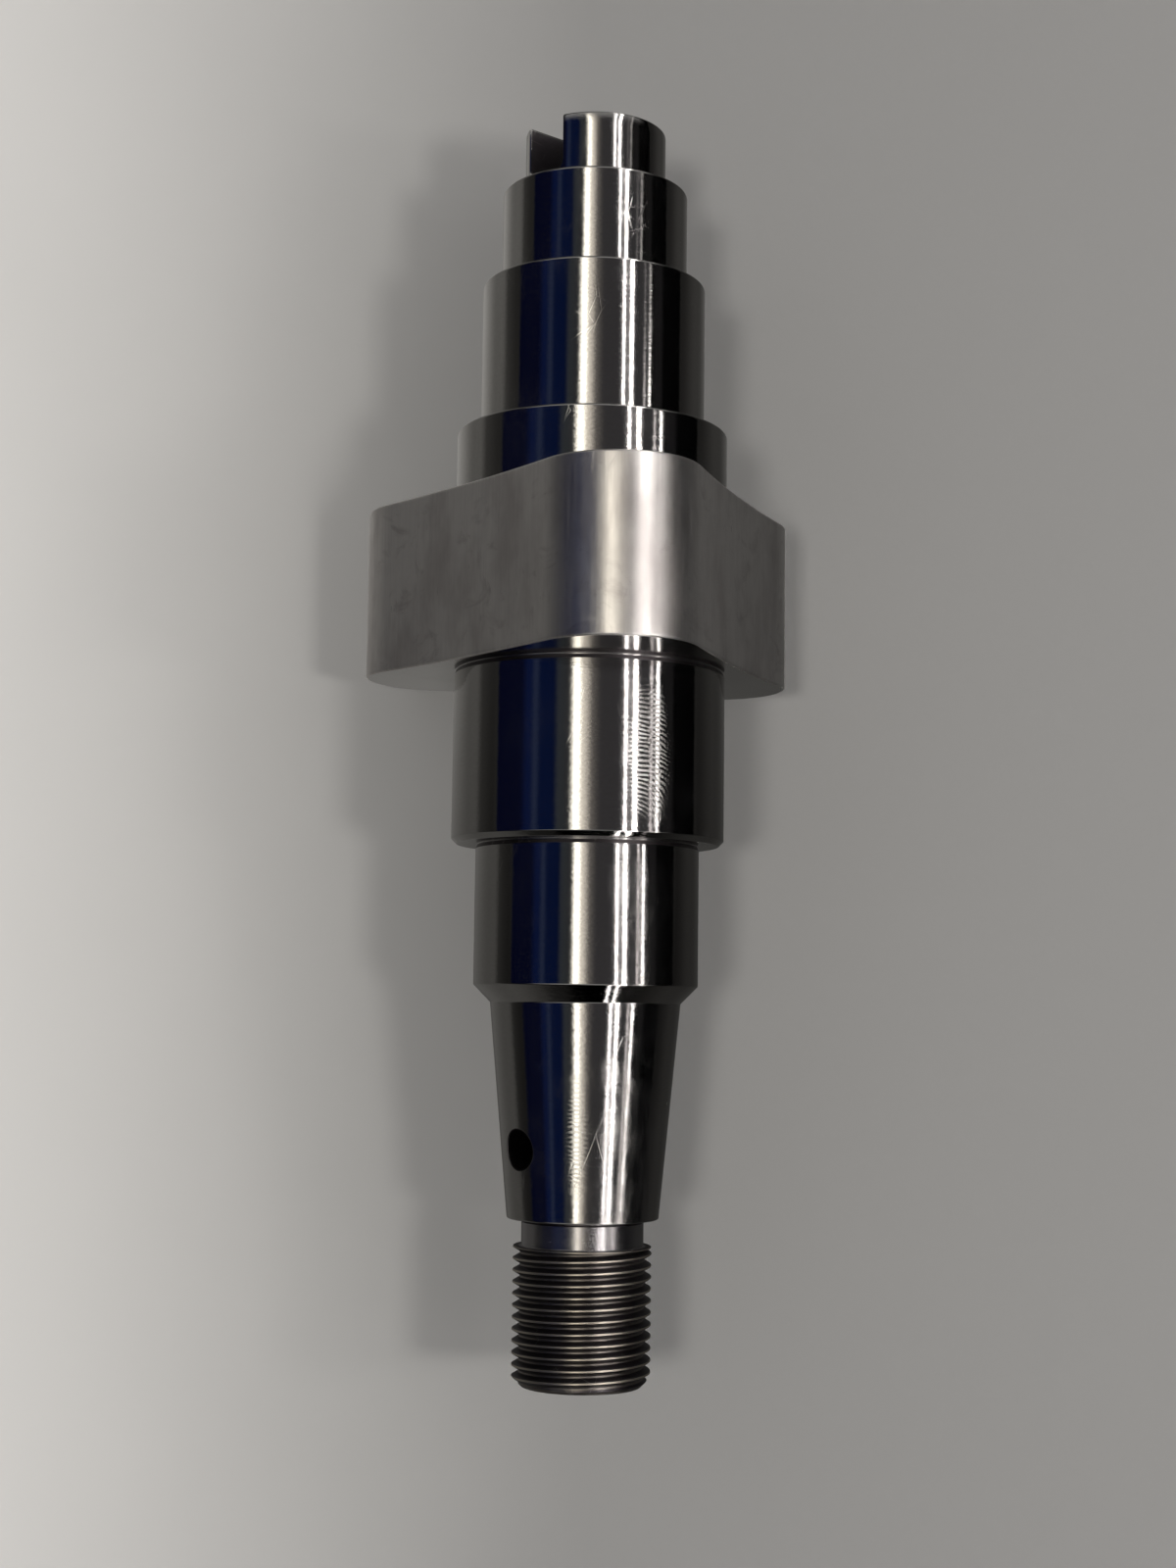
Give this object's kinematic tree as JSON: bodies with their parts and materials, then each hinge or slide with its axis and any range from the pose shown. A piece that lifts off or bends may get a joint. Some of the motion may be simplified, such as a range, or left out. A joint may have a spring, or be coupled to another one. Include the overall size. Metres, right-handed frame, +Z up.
{
  "type": "stepped shaft",
  "caption": "Stepped steel shaft with a lobed cam, ground bearing journals, a taper with a pin hole, a threaded end and a slotted drive end.",
  "frame": {"origin": "on the axis, in the middle of the main journal", "axes": "+Y along the axis from the threaded end to the slotted end, +Z up through the top of one cam lobe"},
  "size_m": [0.058, 0.1667, 0.0531],
  "materials": {
    "ground_steel": "ground and polished"
  },
  "bodies": {
    "root": {"stepped_shaft": "ground_steel"}
  },
  "joints": []
}
